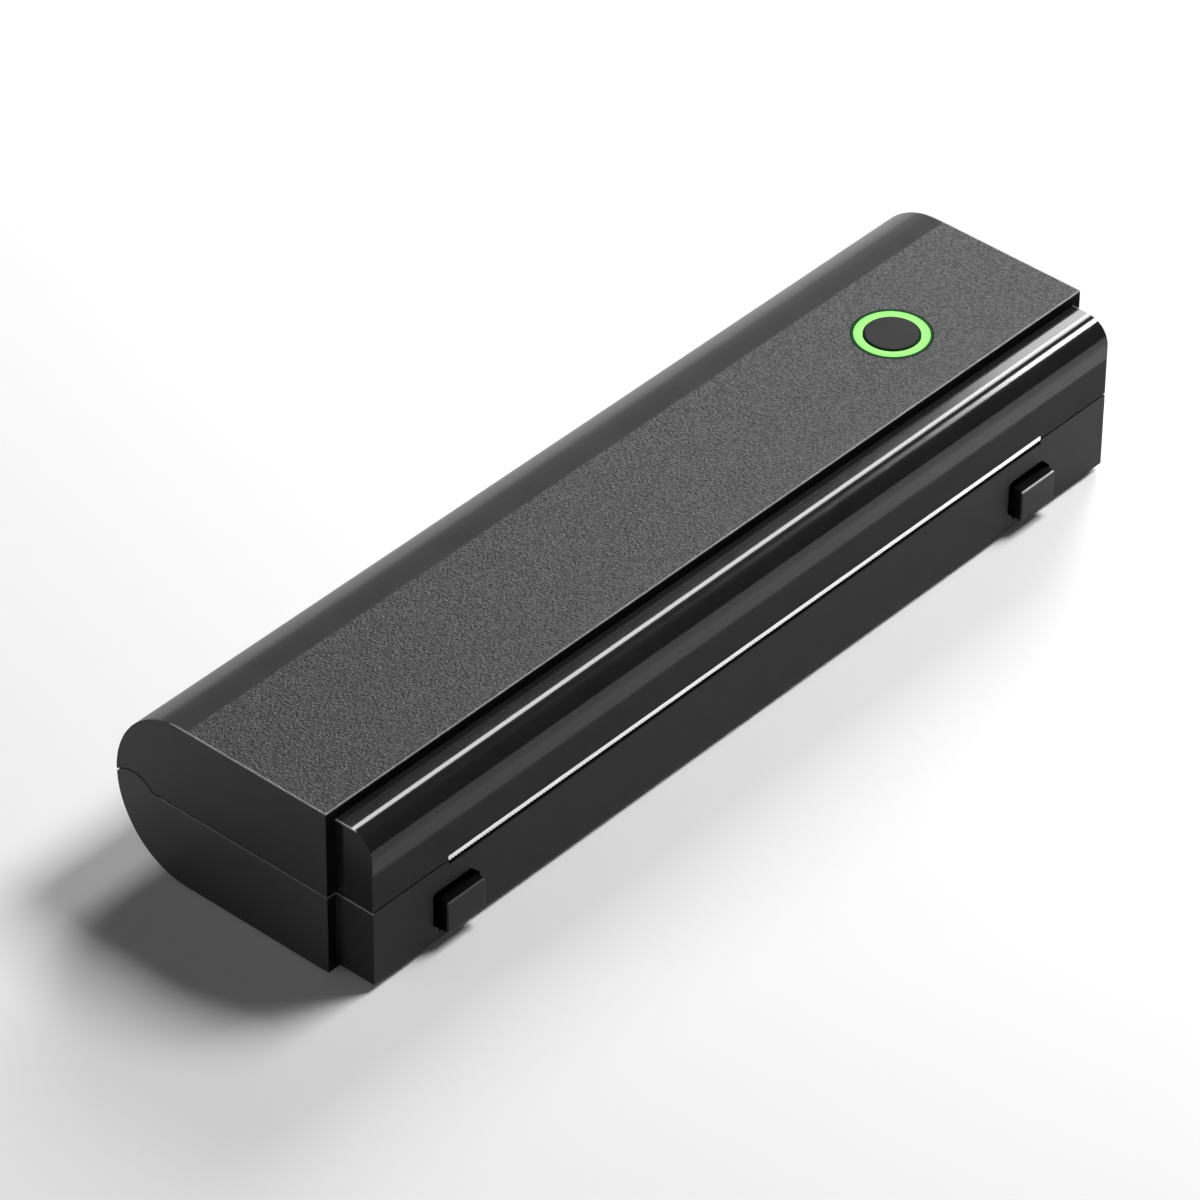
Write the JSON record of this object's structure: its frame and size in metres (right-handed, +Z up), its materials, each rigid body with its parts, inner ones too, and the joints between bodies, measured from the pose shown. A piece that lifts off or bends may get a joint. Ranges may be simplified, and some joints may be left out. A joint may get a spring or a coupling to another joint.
{
  "type": "portable thermal printer",
  "caption": "Long low portable thermal printer: rounded plastic clamshell with a hinged lid, front paper exit with tear bar, push-button lid latches and a lit power button.",
  "frame": {"origin": "middle of the bounding box's underside, where the rubber feet stand", "axes": "+X along the printer to its right-hand end, -Y towards the paper exit, +Z up"},
  "size_m": [0.27, 0.0804, 0.0478],
  "materials": {
    "housing": "satin",
    "nose": "satin",
    "button_plastic": "satin",
    "inner_plastic": "matte",
    "steel": "satin",
    "screw_steel": "satin",
    "tear_steel": "satin",
    "motor_case": "satin",
    "light": "gloss",
    "rubber": "matte",
    "gear_plastic": "satin",
    "head_aluminium": "satin",
    "heater": "gloss",
    "chip": "matte",
    "circuit_board": "satin",
    "battery_wrap": "satin",
    "ribbon": "satin"
  },
  "bodies": {
    "base": {"base_shell": "housing", "front_guide": "inner_plastic", "paper_deck": "inner_plastic", "paper_sensor": "chip", "left_frame": "steel", "right_frame": "steel", "stepper_motor": "motor_case", "gear_axle": "steel", "axle_clip": "steel", "head_springs": "steel", "head_ribbon": "ribbon", "battery_pack": "battery_wrap", "main_board": "circuit_board", "board_parts": "chip", "usb_socket": "steel", "hinge_pins": "steel", "rubber_feet": "rubber", "latch_spring_left": "steel", "latch_spring_right": "steel", "deck_screws": "screw_steel", "frame_screws": "screw_steel", "board_screws": "screw_steel"},
    "lid": {"top_cover": "housing", "front_cover": "nose", "tear_bar": "tear_steel", "light_ring": "light", "switch_board": "circuit_board", "push_switch": "chip", "lid_liner": "inner_plastic", "platen_bracket_left": "inner_plastic", "platen_bracket_right": "inner_plastic", "platen_bushes": "inner_plastic", "liner_screws": "screw_steel", "bracket_screws": "screw_steel", "cover_screws": "screw_steel", "switch_screws": "screw_steel"},
    "platen": {"platen_shaft": "steel", "platen_roller": "rubber", "platen_gear": "gear_plastic", "shaft_clip": "steel"},
    "reduction": {"reduction_gear": "gear_plastic"},
    "pinion": {"motor_pinion": "gear_plastic", "motor_shaft": "steel"},
    "button": {"power_button": "button_plastic"},
    "latch_left": {"latch_button_left": "button_plastic"},
    "latch_right": {"latch_button_right": "button_plastic"},
    "head": {"head_plate": "head_aluminium", "head_heater": "heater", "head_driver": "chip", "head_plug": "chip"}
  },
  "joints": [
    {"name": "lid_hinge", "type": "hinge", "parent": "base", "child": "lid", "pos_m": [0, 0.0348, 0.0188], "axis": [-1, 0, 0], "range_deg": [0, 90]},
    {"name": "platen_spin", "type": "hinge", "parent": "lid", "child": "platen", "pos_m": [0, -0.0155, 0.0282], "axis": [1, 0, 0], "continuous": true},
    {"name": "reduction_spin", "type": "hinge", "parent": "base", "child": "reduction", "pos_m": [0, -0.01024, 0.01741], "axis": [1, 0, 0], "continuous": true},
    {"name": "pinion_spin", "type": "hinge", "parent": "base", "child": "pinion", "pos_m": [0, 0.00522, 0.01085], "axis": [1, 0, 0], "continuous": true},
    {"name": "power_press", "type": "slide", "parent": "lid", "child": "button", "axis": [0, 0, -1], "range_m": [0, 0.0008], "stiffness_N_per_m": 800, "springref_m": -0.001},
    {"name": "latch_left_press", "type": "slide", "parent": "base", "child": "latch_left", "axis": [0, 1, 0], "range_m": [0, 0.002], "stiffness_N_per_m": 800, "springref_m": -0.002, "deforming": ["latch_spring_left"]},
    {"name": "latch_right_press", "type": "slide", "parent": "base", "child": "latch_right", "axis": [0, 1, 0], "range_m": [0, 0.002], "stiffness_N_per_m": 800, "springref_m": -0.002, "deforming": ["latch_spring_right"]},
    {"name": "head_pivot", "type": "hinge", "parent": "base", "child": "head", "pos_m": [0, -0.004, 0.0189], "axis": [1, 0, 0], "range_deg": [0, 1.5], "stiffness_Nm_per_rad": 2, "springref_deg": -5.73, "deforming": ["head_springs"]}
  ],
  "couplings": [
    {"joint": "reduction_spin", "follows": "platen_spin", "ratio": -1.5},
    {"joint": "pinion_spin", "follows": "platen_spin", "ratio": 3.75}
  ]
}
